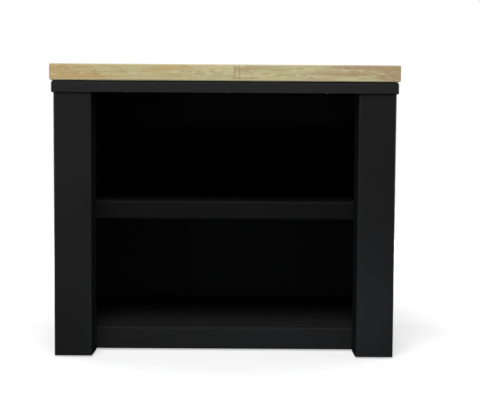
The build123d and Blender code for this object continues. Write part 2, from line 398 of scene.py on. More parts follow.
@dataclass(frozen=True)
class OiledHardwood:
    """Pale oiled board of glued staves, each of finger-jointed lengths, with grain all the way through."""

    name: str = "pale_oiled_hardwood"
    specular: float = 0.3
    roughness: Range = (0.5, 0.62)
    wear_scale: float = 14
    # Where the staves, lengths and fingers lie, and how wide their glue lines are.
    front_edge: float = -0.2525
    middle_height: float = 0.739
    stave: float = 0.0421
    length: float = 0.49
    joint: float = 0.0368
    stagger: float = 0.37
    finger: float = 0.0147
    finger_pitch: float = 0.0042
    butt_line: Range = (0.0006, 0.0015)
    glue_line: Range = (0.0002, 0.0007)
    # How one length differs from the next.
    tone_start: float = 0.12
    row_tone: float = 0.29
    length_tone: float = 0.618
    shade_step: float = 2.4
    shade_depth: float = 0.13
    chance_shift: Triple = (3, 3, 3)
    # Growth rings: the place of the pith is a spread by chance and an offset.
    ring_pitch: float = 0.0052
    pith_side: Range = (0.05, 0.03)
    pith_rise: Range = (0.05, -0.025)
    ring_start: Range = (0.4, 0.88)
    ring_end: Range = (0.9, 1)
    wobble: Grain = Grain((2.4, 14, 14), amount=0.03)
    ripple: Grain = Grain((24, 60, 60), detail=2, amount=0.006)
    # Grain, flecks and how much of each colour shows.
    patches: Grain = Grain((2.5, 24, 24), 0.35, 0.65)
    streaks: Grain = Grain((5, 44, 60), 0.54, 0.74, detail=4, swirl=0.4, amount=0.95)
    fleck_rows: Grain = Grain((6, 50, 85), 0.42, 0.6)
    pale_flecks: Grain = Grain((38, 330, 330), 0.49, 0.70, swirl=0.3, amount=0.8)
    dark_flecks: Grain = Grain((44, 350, 350), 0.51, 0.72, swirl=0.3, amount=0.9)
    fibre: Grain = Grain((7, 420, 420), 0.3, 0.75, detail=4, amount=0.2)
    pores: Grain = Grain((90, 800, 800), 0.64, 0.74, detail=2, amount=0.4)
    heart_pull: float = 0.28
    flat_flecks: float = 0.4
    ring_amount: float = 0.4
    joint_amount: float = 0.9
    # How much the darker end colour shows: end grain, and painted shade on the rounded upright corners.
    corner_shade_and_end_amount: float = 0.6
    # Which way a face looks, as ranges of its normal, and the paler rims of the upright faces: sanded
    # arrises, with painted light added on the bottom one.
    side_range: Range = (0.3, 0.7)
    # The end range also reaches the rounded upright corners, where the darker end colour is painted shade.
    corner_shade_and_end_range: Range = (0.05, 0.5)
    flat_range: Range = (0.9, 0.99)
    rim_range: Range = (0.0155, 0.0185)
    rim_change: Range = (-0.005, 0.005)
    # How pale the bottom and the top rim are; the bottom rim's paleness is mostly painted light.
    rim_sanding_and_light_amounts: Range = (0.6, 0.15)
    # Gloss and relief.
    ring_gloss: float = 0.06
    fibre_rise: float = 0.3
    pore_sink: float = 0.6
    joint_sink: float = 0.7
    relief: float = 0.0002
    # Colours; the figures stand along a scale from 0 to 1 that each length picks from.
    base_dark: Colour = (0.430, 0.388, 0.200)
    base_light: Colour = (0.505, 0.466, 0.262)
    figures: tuple[tuple[float, Colour], ...] = (
        (0.00, (0.360, 0.250, 0.138)),
        (0.12, (0.335, 0.224, 0.130)),
        (0.28, (0.420, 0.360, 0.180)),
        (0.40, (0.430, 0.305, 0.130)),
        (0.52, (0.430, 0.295, 0.120)),
        (0.66, (0.425, 0.360, 0.180)),
        (0.80, (0.385, 0.270, 0.135)),
        (1.00, (0.425, 0.350, 0.170)),
    )
    late_wood: Colour = (0.36, 0.275, 0.12)
    pale: Colour = (0.58, 0.525, 0.33)
    speck: Colour = (0.25, 0.175, 0.075)
    pore: Colour = (0.22, 0.155, 0.07)
    joint_line: Colour = (0.31, 0.235, 0.11)
    # Darker end grain on the end faces, which also serves as painted shade on the rounded upright corners.
    end_grain_and_corner_shade: Colour = (0.30, 0.225, 0.105)

    def build(self, effects: Effects) -> Material:
        """Make the material.

        Args:
            effects: The shared groups.

        Returns:
            The material.
        """
        material, nodes, shader = surface(self.name, Specular_IOR_Level=self.specular)
        coordinates = nodes.add("ShaderNodeTexCoord").outputs
        place = coordinates["Object"]
        facing = nodes.split(coordinates["Normal"])
        upright = nodes.math("ABSOLUTE", facing[2])
        # Darker where a face turns along the board: real end grain on the end faces, painted shade on the
        # rounded upright corners.
        ends = nodes.step(nodes.math("ABSOLUTE", facing[0]), *self.corner_shade_and_end_range)
        sides = nodes.step(upright, *self.side_range, 1, 0)
        height = nodes.math("SUBTRACT", nodes.split(place)[2], self.middle_height)
        lengths = self._lengths(nodes, place, sides)
        shifted = nodes.vector("MULTIPLY_ADD", lengths.chance, self.chance_shift, place)
        rings = self._rings(nodes, height, shifted, lengths)
        thinned = nodes.step(upright, *self.side_range, 1, self.flat_flecks)
        rows = nodes.math("MULTIPLY", self.fleck_rows.mask(nodes, shifted), thinned)
        fibre = self.fibre.mask(nodes, shifted)
        pores = self.pores.mask(nodes, shifted)
        streaks = self.streaks.noise(nodes, shifted)
        streaks = nodes.math("MULTIPLY_ADD", lengths.heart, self.heart_pull, streaks)
        warm = nodes.step(streaks, self.streaks.low, self.streaks.high)
        pale_flecks = nodes.math("MULTIPLY", rows, self.pale_flecks.mask(nodes, shifted))
        dark_flecks = nodes.math("MULTIPLY", rows, self.dark_flecks.mask(nodes, shifted))
        # Paler rims: sanded arrises, and painted light on the bottom one.
        sanded_rims_with_painted_light = self._sanded_rims_with_painted_light(nodes, height, upright)
        layers = [
            (rings, self.ring_amount, self.late_wood),
            (pale_flecks, self.pale_flecks.amount, self.pale),
            (fibre, self.fibre.amount, self.pale),
            (dark_flecks, self.dark_flecks.amount, self.speck),
            (pores, self.pores.amount, self.pore),
            (lengths.joints, self.joint_amount, self.joint_line),
            (sanded_rims_with_painted_light, 1, self.pale),
            (ends, self.corner_shade_and_end_amount, self.end_grain_and_corner_shade),
        ]
        colour = nodes.mix(self.patches.mask(nodes, shifted), self.base_dark, self.base_light)
        colour = nodes.mix(nodes.math("MULTIPLY", warm, self.streaks.amount), colour, lengths.figure)
        colour = nodes.mix(1, colour, lengths.shade, "MULTIPLY")
        for mask, amount, other in layers:
            colour = nodes.mix(nodes.math("MULTIPLY", mask, amount), colour, other)
        nodes.feed(shader.inputs["Base Color"], colour)
        wear = effects.mottle(nodes, place, self.wear_scale)
        worn = nodes.step(wear, 0, 1, *self.roughness)
        nodes.feed(shader.inputs["Roughness"], nodes.math("MULTIPLY_ADD", rings, -self.ring_gloss, worn))
        open_pores = nodes.math("MULTIPLY", pores, -self.pore_sink)
        relief = nodes.math("MULTIPLY_ADD", fibre, self.fibre_rise, open_pores)
        relief = nodes.math("SUBTRACT", relief, nodes.math("MULTIPLY", lengths.joints, self.joint_sink))
        nodes.feed(shader.inputs["Normal"], nodes.bump(relief, self.relief))
        return material

    def _sanded_rims_with_painted_light(self, nodes: Nodes, height: NodeSocket, upright: NodeSocket) -> NodeSocket:
        """Mask of the paler arrises along the top and, more so, the bottom of the sides: sanded arrises, with
        painted light that lifts the shaded bottom arris.

        Args:
            nodes: The material's nodes.
            height: Height over the middle of the board.
            upright: How far the surface faces up or down.

        Returns:
            The mask.
        """
        rim = nodes.step(nodes.math("ABSOLUTE", height), *self.rim_range)
        amount = nodes.step(height, *self.rim_change, *self.rim_sanding_and_light_amounts)
        sides = nodes.step(upright, *self.flat_range, 1, 0)
        return nodes.math("MULTIPLY", nodes.math("MULTIPLY", rim, amount), sides)

    def _lengths(self, nodes: Nodes, place: NodeSocket, sides: NodeSocket) -> Lengths:
        """Lay out the staves and their lengths.

        Args:
            nodes: The material's nodes.
            place: Place on the board.
            sides: Mask of the upright faces, on which the tips of the fingers show as a second line.

        Returns:
            What the lengths give each point.
        """
        x, y, _ = nodes.split(place)
        rank = nodes.math("DIVIDE", nodes.math("SUBTRACT", y, self.front_edge), self.stave)
        row = nodes.math("FLOOR", rank)
        steps = nodes.math("MULTIPLY", row, self.stagger)
        ahead = nodes.math("SUBTRACT", x, self.joint)
        fingers = nodes.math("PINGPONG", nodes.math("DIVIDE", y, self.finger_pitch), 0.5)
        reach = nodes.math("MULTIPLY_ADD", fingers, 2 * self.finger, ahead)
        along = nodes.math("ADD", nodes.math("DIVIDE", reach, self.length), steps)
        column = nodes.math("FLOOR", along)
        tone = nodes.math("MULTIPLY_ADD", column, self.length_tone, self.tone_start)
        tone = nodes.math("FRACT", nodes.math("MULTIPLY_ADD", row, self.row_tone, tone))
        figure = nodes.add("ShaderNodeValToRGB", {0: tone})
        stops = figure.color_ramp.elements
        for _ in self.figures[2:]:
            stops.new(0.5)
        for stop, (position, colour) in zip(stops, self.figures):
            stop.position = position
            stop.color = (*colour, 1)
        cell = nodes.add("ShaderNodeCombineXYZ", {0: row, 1: column}).outputs[0]
        chance = nodes.add("ShaderNodeTexWhiteNoise", {"Vector": cell}, noise_dimensions="2D")
        centred = nodes.math("SUBTRACT", nodes.math("FRACT", rank), 0.5)

        def line(count: NodeSocket, pitch: float, width: Range) -> NodeSocket:
            """Mask of the lines where a count passes a whole number."""
            return nodes.step(nodes.math("MULTIPLY", nodes.math("PINGPONG", count, 0.5), pitch), *width, 1, 0)

        tip_count = nodes.math("ADD", nodes.math("DIVIDE", ahead, self.length), steps)
        tips = nodes.math("MULTIPLY", line(tip_count, self.length, self.butt_line), sides)
        butts = nodes.math("MAXIMUM", line(along, self.length, self.butt_line), tips)
        turn = nodes.math("MULTIPLY_ADD", row, self.shade_step, nodes.math("MULTIPLY", column, math.pi))
        return Lengths(
            figure=figure.outputs[0],
            shade=nodes.math("MULTIPLY_ADD", nodes.math("SINE", turn), self.shade_depth, 1),
            heart=nodes.math("PINGPONG", along, 1),
            chance=chance.outputs["Color"],
            across=nodes.math("MULTIPLY", centred, self.stave),
            joints=nodes.math("MAXIMUM", butts, line(rank, self.stave, self.glue_line)),
        )

    def _rings(self, nodes: Nodes, height: NodeSocket, shifted: NodeSocket, lengths: Lengths) -> NodeSocket:
        """Growth rings round a pith of each length's own.

        Args:
            nodes: The material's nodes.
            height: Height over the middle of the board.
            shifted: Place with each length's own shift.
            lengths: What the lengths give each point.

        Returns:
            How much of the surface is late wood, from 0 to 1.
        """
        first, second, _ = nodes.add("ShaderNodeSeparateColor", {0: lengths.chance}).outputs
        side = nodes.math("ADD", lengths.across, nodes.math("MULTIPLY_ADD", first, *self.pith_side))
        rise = nodes.math("ADD", height, nodes.math("MULTIPLY_ADD", second, *self.pith_rise))
        squares = nodes.math("ADD", nodes.math("POWER", side, 2), nodes.math("POWER", rise, 2))
        radius = nodes.math("SQRT", squares)
        for wander in (self.ripple, self.wobble):
            radius = nodes.math("MULTIPLY_ADD", wander.noise(nodes, shifted), wander.amount, radius)
        ring = nodes.math("FRACT", nodes.math("DIVIDE", radius, self.ring_pitch))
        swell = nodes.step(ring, *self.ring_start)
        return nodes.math("MULTIPLY", swell, nodes.step(ring, *self.ring_end, 1, 0))


OUTER_COAT = CoatedFinish(
    "black_powder_coat",
    dark=(0.0054, 0.0054, 0.0057),
    light=(0.0066, 0.0066, 0.0070),
    roughness=(0.475, 0.495),
    specular=0.16,
)
# The same black powder coat, with its colour painted lighter on the pan: painted light.
PAN_PAINTED_LIGHT_COAT = CoatedFinish(
    "pan_powder_coat_painted_light",
    dark=(0.0151, 0.0151, 0.0151),
    light=(0.0165, 0.0165, 0.0165),
    roughness=(0.64, 0.66),
    specular=0.06,
)
# The same black powder coat, with its colour painted lighter on the bottom shelf: painted light.
PLINTH_PAINTED_LIGHT_COAT = CoatedFinish(
    "plinth_powder_coat_painted_light",
    dark=(0.0097, 0.0097, 0.0100),
    light=(0.0109, 0.0109, 0.0113),
    roughness=(0.64, 0.66),
    specular=0.06,
)
# The same black powder coat, painted darker for the faces inside the bays and the middle shelf: painted
# shade.
PAINTED_SHADE_COAT = CoatedFinish(
    "powder_coat_painted_shade",
    dark=(0.0032, 0.0032, 0.0034),
    light=(0.0038, 0.0038, 0.0041),
    roughness=(0.66, 0.68),
    specular=0.07,
)
ZINC_PLATE = CoatedFinish(
    "zinc_plate",
    dark=(0.50, 0.51, 0.52),
    light=(0.68, 0.68, 0.66),
    roughness=(0.26, 0.44),
    metallic=1,
    cloud_scale=60,
    texture_depth=0.00002,
)
BLACK_OXIDE = CoatedFinish(
    "black_oxide",
    dark=(0.014, 0.014, 0.015),
    light=(0.024, 0.024, 0.025),
    roughness=(0.3, 0.42),
    cloud_scale=80,
    texture_depth=0.00003,
)
FOOT_PLASTIC = CoatedFinish(
    "foot_plastic",
    dark=(0.020, 0.020, 0.021),
    light=(0.030, 0.030, 0.031),
    roughness=(0.5, 0.62),
    cloud_scale=50,
    texture_scale=2200,
)


class Finishes:
    """Every material of the table, built once."""

    def __init__(self, effects: Effects) -> None:
        """Build the materials.

        Args:
            effects: The shared groups.
        """
        self.coat = OUTER_COAT.build(effects)
        self.pan_painted_light_coat = PAN_PAINTED_LIGHT_COAT.build(effects)
        self.plinth_painted_light_coat = PLINTH_PAINTED_LIGHT_COAT.build(effects)
        self.painted_shade_coat = PAINTED_SHADE_COAT.build(effects)
        self.zinc = ZINC_PLATE.build(effects)
        self.oxide = BLACK_OXIDE.build(effects)
        self.plastic = FOOT_PLASTIC.build(effects)
        self.wood = OiledHardwood().build(effects)


class Workpiece:
    """A mesh on the bench, shaped with bmesh operators and then placed on a body of the frame."""

    smooth_limit = math.radians(35)

    def __init__(self, name: str) -> None:
        """Start with an empty mesh."""
        self.name = name
        self.bm = bmesh.new()

    def block(self, lo: Vector, hi: Vector) -> None:
        """Add a block between two corners."""
        size = Matrix.Diagonal((*(hi - lo), 1))
        bmesh.ops.create_cube(self.bm, size=1, matrix=Matrix.Translation((lo + hi) / 2) @ size)

    def cut(self, place: Sequence[float], normal: Sequence[float]) -> None:
        """Cut the faces along a plane and keep both sides."""
        geometry = [*self.bm.verts, *self.bm.edges, *self.bm.faces]
        bmesh.ops.bisect_plane(self.bm, geom=geometry, dist=TOUCH, plane_co=place, plane_no=normal)

    def creases(self, angle: float) -> list[BMEdge]:
        """Edges whose two faces meet at more than an angle."""
        return [edge for edge in self.bm.edges if edge.calc_face_angle(0) > angle]

    def round(self, edges: Sequence[BMEdge], width: float, segments: int) -> None:
        """Round edges off.

        Args:
            edges: The edges.
            width: Distance from each edge to where its round starts.
            segments: Faces across the round.
        """
        bmesh.ops.bevel(
            self.bm,
            geom=list(edges),
            offset=width,
            offset_type="OFFSET",
            affect="EDGES",
            segments=segments,
            profile=0.5,
            material=-1,
            clamp_overlap=True,
        )

    def merge(self) -> None:
        """Join doubled vertices and point the faces outwards."""
        bmesh.ops.remove_doubles(self.bm, verts=self.bm.verts[:], dist=DOUBLED)
        bmesh.ops.recalc_face_normals(self.bm, faces=self.bm.faces[:])

    def stamp(self, pattern: BMesh, place: Matrix) -> None:
        """Add a mesh at a place and free it.

        Args:
            pattern: The mesh.
            place: Where it goes.
        """
        mesh = bpy.data.meshes.new("pattern")
        pattern.to_mesh(mesh)
        pattern.free()
        mesh.transform(place)
        self.bm.from_mesh(mesh)
        bpy.data.meshes.remove(mesh)

    def place(self, body: str, slot: Slot, finish: Material, *nodes: str) -> Object:
        """Make the finished object and hand it to the frame.

        Args:
            body: Body that the piece moves with.
            slot: Material slot of the record; not used.
            finish: The material.
            *nodes: Nodes of the frame that it stands for.

        Returns:
            The object.
        """
        for face in self.bm.faces:
            face.smooth = True
        for edge in self.bm.edges:
            edge.smooth = edge.calc_face_angle(0) < self.smooth_limit
        open_edges = sum(not edge.is_manifold for edge in self.bm.edges)
        mesh = bpy.data.meshes.new(self.name)
        self.bm.to_mesh(mesh)
        self.bm.free()
        mesh.materials.append(finish)
        piece = bpy.data.objects.new(self.name, mesh)
        bpy.context.scene.collection.objects.link(piece)
        normals = piece.modifiers.new("even_shading", "WEIGHTED_NORMAL")
        normals.keep_sharp = True
        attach(piece, body)
        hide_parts(*nodes)
        LOG.info("%s: %d faces, %d open edges, on %s", self.name, len(mesh.polygons), open_edges, body)
        return piece


class FoldedSheet(Workpiece):
    """A piece of sheet steel: an open strip, its tabs and its folds, then the thickness of the sheet."""

    thickness = 0.002
    bend = 0.006
    bend_segments = 6
    cut_edge = 0.0004
    cut_segments = 2
    fold_limit = math.radians(60)
    flat_limit = 0.01

    def strip(self, outline: Sequence[Vector], run: Vector) -> None:
        """Lay out the sheet along an outline.

        Args:
            outline: Corners of the folded outline, from one edge of the sheet to the other.
            run: How far the outline is drawn out, and in which direction.
        """
        verts = [self.bm.verts.new(point) for point in outline]
        edges = [self.bm.edges.new(ends) for ends in pairwise(verts)]
        self._draw(edges, run)

    def _draw(self, edges: Sequence[BMEdge], move: Vector) -> list[BMEdge]:
        """Draw edges out into faces.

        Args:
            edges: The edges.
            move: How far, and in which direction.

        Returns:
            The edges at the far end.
        """
        made = bmesh.ops.extrude_edge_only(self.bm, edges=list(edges))["geom"]
        far = {item for item in made if isinstance(item, BMVert)}
        bmesh.ops.translate(self.bm, verts=list(far), vec=move)
        return [item for item in made if isinstance(item, BMEdge) and far.issuperset(item.verts)]

    def tab(self, test: PointTest, *moves: Vector) -> None:
        """Draw a tab out of the sheet's open edges.

        Args:
            test: Whether an end of an edge is where the tab starts.
            *moves: How far the tab goes, one fold after another.
        """
        rims = [edge for edge in self.bm.edges if edge.is_boundary]
        edges = [edge for edge in rims if all(test(vert.co) for vert in edge.verts)]
        for move in moves:
            edges = self._draw(edges, move)

    def relieve(self, test: PointTest) -> None:
        """Cut out the faces whose middle passes a test."""
        faces = [face for face in self.bm.faces if test(face.calc_center_median())]
        bmesh.ops.delete(self.bm, geom=faces, context="FACES")

    def fold(self, inside: Vector) -> None:
        """Round the folds, give the sheet its thickness and ease its cut edges.

        Args:
            inside: A point on the side that the sheet thickens to.
        """
        bmesh.ops.dissolve_limit(
            self.bm, angle_limit=self.flat_limit, verts=self.bm.verts[:], edges=self.bm.edges[:]
        )
        bmesh.ops.recalc_face_normals(self.bm, faces=self.bm.faces[:])
        widest = max(self.bm.faces, key=BMFace.calc_area)
        if widest.normal.dot(widest.calc_center_median() - inside) < 0:
            bmesh.ops.reverse_faces(self.bm, faces=self.bm.faces[:])
        self.round(self.creases(self.fold_limit), self.bend, self.bend_segments)
        self.thicken()

    def thicken(self) -> None:
        """Give the sheet its thickness, inwards, and ease its cut edges."""
        bmesh.ops.solidify(self.bm, geom=self.bm.faces[:], thickness=self.thickness)
        self.round(self.creases(self.fold_limit), self.cut_edge, self.cut_segments)


@dataclass
class Worktop:
    """The thick wooden top with eased edges."""

    edge_round: float = 0.004
    round_segments: int = 5

    def build(self, finishes: Finishes) -> None:
        """Model and dress the board.

        Args:
            finishes: The materials.
        """
        board = Workpiece("wood_board")
        board.block(*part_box("worktop"))
        board.round(board.bm.edges[:], self.edge_round, self.round_segments)
        board.place(CABINET, Slot.WOOD, finishes.wood, "worktop")


@dataclass
class TopPan:
    """The shallow folded pan that the board lies on."""

    corner_round: float = 0.008
    round_segments: int = 7

    def build(self, finishes: Finishes) -> None:
        """Model and dress the pan.

        Args:
            finishes: The materials.
        """
        lo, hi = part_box("top_pan")
        pan = FoldedSheet("top_pan_shell")
        pan.block(lo, hi)
        pan.relieve(lambda centre: near(centre.z, lo.z))
        pan.round(pan.creases(pan.fold_limit), self.corner_round, self.round_segments)
        pan.thicken()
        # The pan takes the lighter copy of the coat, which is painted light.
        pan.place(CABINET, Slot.COAT, finishes.pan_painted_light_coat, "top_pan")


@dataclass
class SidePanel:
    """One side of the cabinet from one sheet: front post with its return and lip, side and flanges."""

    hand: Hand
    return_depth: float = 0.084
    lip: float = 0.014
    rear_flange: float = 0.040
    top_flange: float = 0.030
    rise: float = 0.006
    flange_front: float = -0.148
    flange_back: float = 0.200

    def build(self, finishes: Finishes) -> None:
        """Model and dress the sheet.

        Args:
            finishes: The materials.
        """
        node = f"{self.hand.name.lower()}_side_panel"
        lo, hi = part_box(node)
        sign = self.hand.value
        inner, outer = sorted((lo.x, hi.x), key=abs)
        post_back = lo.y + self.return_depth
        head = hi.z - self.rise
        outline = [
            (inner + sign * self.lip, post_back),
            (inner, post_back),
            (inner, lo.y),
            (outer, lo.y),
            (outer, hi.y),
            (outer - sign * self.rear_flange, hi.y),
        ]
        sheet = FoldedSheet(f"{node}_sheet")
        sheet.strip([Vector((x, y, lo.z)) for x, y in outline], Vector((0, 0, head - lo.z)))
        for y in (self.flange_front, self.flange_back):
            sheet.cut((0, y, 0), (0, 1, 0))

        def on_flange(point: Vector) -> bool:
            """Whether a point is where the top flange rises from the side."""
            along = self.flange_front - TOUCH < point.y < self.flange_back + TOUCH
            return along and near(point.x, outer) and near(point.z, head)

        sheet.tab(on_flange, Vector((0, 0, self.rise)), Vector((-sign * self.top_flange, 0, 0)))
        sheet.fold(Vector((inner, 0, hi.z / 2)))
        sheet.place(CABINET, Slot.COAT, finishes.coat, node)


@dataclass
class BackPanel:
    """The closed back with a flange under the pan; the faces that look into the bays get the darker copy of
    the coat, which is painted shade.
    """

    top_flange: float = 0.030
    inward: float = -0.5

    def build(self, finishes: Finishes) -> None:
        """Model and dress the sheet.

        Args:
            finishes: The materials.
        """
        lo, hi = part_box("back_panel")
        outline = [(hi.y, lo.z), (hi.y, hi.z), (hi.y - self.top_flange, hi.z)]
        sheet = FoldedSheet("back_sheet")
        sheet.strip([Vector((lo.x, y, z)) for y, z in outline], Vector((hi.x - lo.x, 0, 0)))
        sheet.fold(Vector((0, lo.y, hi.z / 2)))
        panel = sheet.place(CABINET, Slot.COAT, finishes.coat, "back_panel")
        # The faces that look into the bays take the darker copy of the coat, which is painted shade.
        panel.data.materials.append(finishes.painted_shade_coat)
        for face in panel.data.polygons:
            face.material_index = int(face.normal.y < self.inward)


@dataclass
class Shelf:
    """A shelf pan: hemmed front and back, and a flange at each end with a slit beside each of its folds."""

    node: str
    hem: float = 0.015
    end_inset: float = 0.0075
    slit: float = 0.001
    end_gap: float = 0.0035

    def build(self, coat: Material) -> None:
        """Model and dress the sheet.

        Args:
            coat: The material.
        """
        lo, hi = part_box(self.node)
        outline = [
            (lo.y + self.hem, lo.z),
            (lo.y, lo.z),
            (lo.y, hi.z),
            (hi.y, hi.z),
            (hi.y, lo.z),
            (hi.y - self.hem, lo.z),
        ]
        sheet = FoldedSheet(f"{self.node}_sheet")
        sheet.strip([Vector((lo.x, y, z)) for y, z in outline], Vector((hi.x - lo.x, 0, 0)))
        front, back = lo.y + self.end_inset, hi.y - self.end_inset
        for y in (front - self.slit, front, back, back + self.slit):
            sheet.cut((0, y, 0), (0, 1, 0))
        for x in (lo.x + self.end_inset, hi.x - self.end_inset):
            sheet.cut((x, 0, 0), (1, 0, 0))

        def in_slit(centre: Vector) -> bool:
            """Whether the middle of a face lies in a slit."""
            beside = front - self.slit < centre.y < front or back < centre.y < back + self.slit
            return beside and abs(centre.x) > hi.x - self.end_inset and near(centre.z, hi.z)

        def on_end(point: Vector) -> bool:
            """Whether a point is where an end flange folds down."""
            along = front - TOUCH < point.y < back + TOUCH
            return along and near(abs(point.x), hi.x) and near(point.z, hi.z)

        sheet.relieve(in_slit)
        sheet.tab(on_end, Vector((0, 0, lo.z + self.end_gap - hi.z)))
        sheet.fold(Vector((0, (front + back) / 2, lo.z)))
        sheet.place(CABINET, Slot.COAT, coat, self.node)


class Fastener(Protocol):
    """A small fastener that is modelled along +Z, with the middle of its length at the origin."""

    def model(self, length: float) -> BMesh:
        """Model it at a length in metres."""


def ring(bm: BMesh, radius: float, height: float, sides: int) -> list[BMEdge]:
    """Add a ring of edges.

    Args:
        bm: The mesh.
        radius: Radius to the corners.
        height: Height of the ring.
        sides: Number of edges.

    Returns:
        The edges.
    """
    verts = bmesh.ops.create_circle(
        bm, cap_ends=False, segments=sides, radius=radius, matrix=Matrix.Translation((0, 0, height))
    )["verts"]
    return list({edge for vert in verts for edge in vert.link_edges})


def bridge(bm: BMesh, *rings: list[BMEdge]) -> None:
    """Join each ring to the next one with faces."""
    for first, second in pairwise(rings):
        bmesh.ops.bridge_loops(bm, edges=[*first, *second])


@dataclass(frozen=True)
class ThreadedRod:
    """A rod with a real helical thread and bevelled ends; its shares are of the pitch."""

    radius: float
    pitch: float
    sides: int = 16
    depth_share: float = 0.55
    bevel_share: float = 0.3
    sunk_share: float = 0.1
    foot_share: float = 0.46
    crest_share: float = 0.06

    def model(self, length: float) -> BMesh:
        """Model it.

        Args:
            length: Length in metres.

        Returns:
            The mesh.
        """
        bm = bmesh.new()
        half = length / 2
        root = self.radius - self.depth_share * self.pitch
        bevel = self.bevel_share * self.pitch
        levels = [(root - bevel, -half), (root, bevel - half), (root, half - bevel), (root - bevel, half)]
        bridge(bm, *[ring(bm, radius, height, self.sides) for radius, height in levels])
        bmesh.ops.holes_fill(bm, edges=bm.edges[:])
        self._thread(bm, root, half - self.pitch)
        bmesh.ops.recalc_face_normals(bm, faces=bm.faces[:])
        return bm

    def _thread(self, bm: BMesh, root: float, half: float) -> None:
        """Wind the ridge of the thread round the rod.

        Args:
            bm: The mesh.
            root: Radius between the ridges.
            half: Half the length of the thread.
        """
        turns = int(2 * half / self.pitch)
        rise = turns * self.pitch / 2
        sunk = root - self.sunk_share * self.pitch
        section = [(sunk, -self.foot_share * self.pitch), (self.radius, -self.crest_share * self.pitch)]
        section += [(radius, -height) for radius, height in reversed(section)]
        verts = [bm.verts.new((radius, 0, height - rise)) for radius, height in section]
        start = bm.faces.new(verts)
        bmesh.ops.spin(
            bm,
            geom=[*verts, *start.edges],
            cent=(0, 0, 0),
            axis=(0, 0, 1),
            dvec=(0, 0, self.pitch / self.sides),
            angle=math.tau * turns,
            steps=self.sides * turns,
        )
        bmesh.ops.holes_fill(bm, edges=[edge for edge in bm.edges if edge.is_boundary])


@dataclass(frozen=True)
class HexNut:
    """A hexagon nut with a round bore and chamfered corners; its share is of the flats."""

    flats: float
    bore: float
    bore_sides: int = 24
    chamfer_share: float = 0.12
    chamfer_segments: int = 2

    def model(self, length: float) -> BMesh:
        """Model it.

        Args:
            length: Length in metres.

        Returns:
            The mesh.
        """
        bm = bmesh.new()
        levels = (-length / 2, length / 2)
        walls = [ring(bm, self.flats / math.sqrt(3), height, HEXAGON) for height in levels]
        bores = [ring(bm, self.bore, height, self.bore_sides) for height in levels]
        bridge(bm, bores[0], walls[0], walls[1], bores[1], bores[0])
        bmesh.ops.recalc_face_normals(bm, faces=bm.faces[:])
        bmesh.ops.bevel(
            bm,
            geom=[vert for vert in bm.verts if vert.co.xy.length > self.bore + TOUCH],
            offset=self.chamfer_share * self.flats,
            affect="VERTICES",
            segments=self.chamfer_segments,
            profile=0.5,
            material=-1,
            clamp_overlap=True,
        )
        return bm


@dataclass(frozen=True)
class Washer:
    """A flat washer with eased rims; its share is of the thickness."""

    radius: float
    bore: float
    sides: int = 32
    ease_share: float = 1 / 6

    def model(self, length: float) -> BMesh:
        """Model it.

        Args:
            length: Thickness in metres.

        Returns:
            The mesh.
        """
        bm = bmesh.new()
        half, ease = length / 2, length * self.ease_share
        levels = [
            (self.bore, -half),
            (self.radius - ease, -half),
            (self.radius, ease - half),
            (self.radius, half - ease),
            (self.radius - ease, half),
            (self.bore, half),
        ]
        rings = [ring(bm, radius, height, self.sides) for radius, height in levels]
        bridge(bm, *rings, rings[0])
        bmesh.ops.recalc_face_normals(bm, faces=bm.faces[:])
        return bm


@dataclass(frozen=True)
class ButtonScrew:
    """A screw with a low round head and a hexagon socket; its shares are of the head and the shank."""

    head_radius: float
    head: float
    shank: ThreadedRod
    socket: float = 0.0032
    sides: int = 24
    neck_share: float = 0.6
    flat_share: float = 0.55
    rim_share: float = 0.15
    socket_share: float = 0.6
    rim_ease: float = 0.0003
    rim_height: float = 0.0004
    dome_angles: tuple[float, ...] = (85, 65, 45, 25)

    def model(self, length: float) -> BMesh:
        """Model it.

        Args:
            length: Length in metres, with the head.

        Returns:
            The mesh.
        """
        top = length / 2
        seat = top - self.head
        bm = self.shank.model(length - self.head)
        bmesh.ops.translate(bm, verts=bm.verts[:], vec=(0, 0, -self.head / 2))
        flat = self.flat_share * self.head_radius
        levels = [
            (self.shank.radius * self.neck_share, seat),
            (self.head_radius - self.rim_ease, seat),
            (self.head_radius, seat + self.rim_height),
        ]
        for angle in map(math.radians, self.dome_angles):
            rise = self.rim_share + (1 - self.rim_share) * math.cos(angle)
            levels.append((flat + (self.head_radius - flat) * math.sin(angle), seat + self.head * rise))
        levels.append((flat, top))
        rings = [ring(bm, radius, height, self.sides) for radius, height in levels]
        bottom = top - self.socket_share * self.head
        rings += [ring(bm, self.socket, height, HEXAGON) for height in (top, bottom)]
        bridge(bm, *rings)
        bmesh.ops.holes_fill(bm, edges=[*rings[0], *rings[-1]])
        bmesh.ops.recalc_face_normals(bm, faces=bm.faces[:])
        return bm


def solid_boxes(node: str) -> list[Box]:
    """Find the separate solids of a node of the frame.

    Args:
        node: Name of the node.

    Returns:
        The box of each solid, in a fixed order.
    """
    bm = bmesh.new()
    bm.from_mesh(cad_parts[node].data)
    bmesh.ops.remove_doubles(bm, verts=bm.verts[:], dist=DOUBLED)
    unseen = set(bm.verts)
    boxes = []
    while unseen:
        waiting = [unseen.pop()]
        points = []
        while waiting:
            vert = waiting.pop()
            points.append(vert.co.copy())
            joined = {edge.other_vert(vert) for edge in vert.link_edges} & unseen
            unseen -= joined
            waiting.extend(joined)
        corners = [Vector(pick(point[axis] for point in points) for axis in range(3)) for pick in (min, max)]
        boxes.append((corners[0], corners[1]))
    bm.free()
    return sorted(boxes, key=lambda box: tuple(round(value, 5) for value in box[0]))


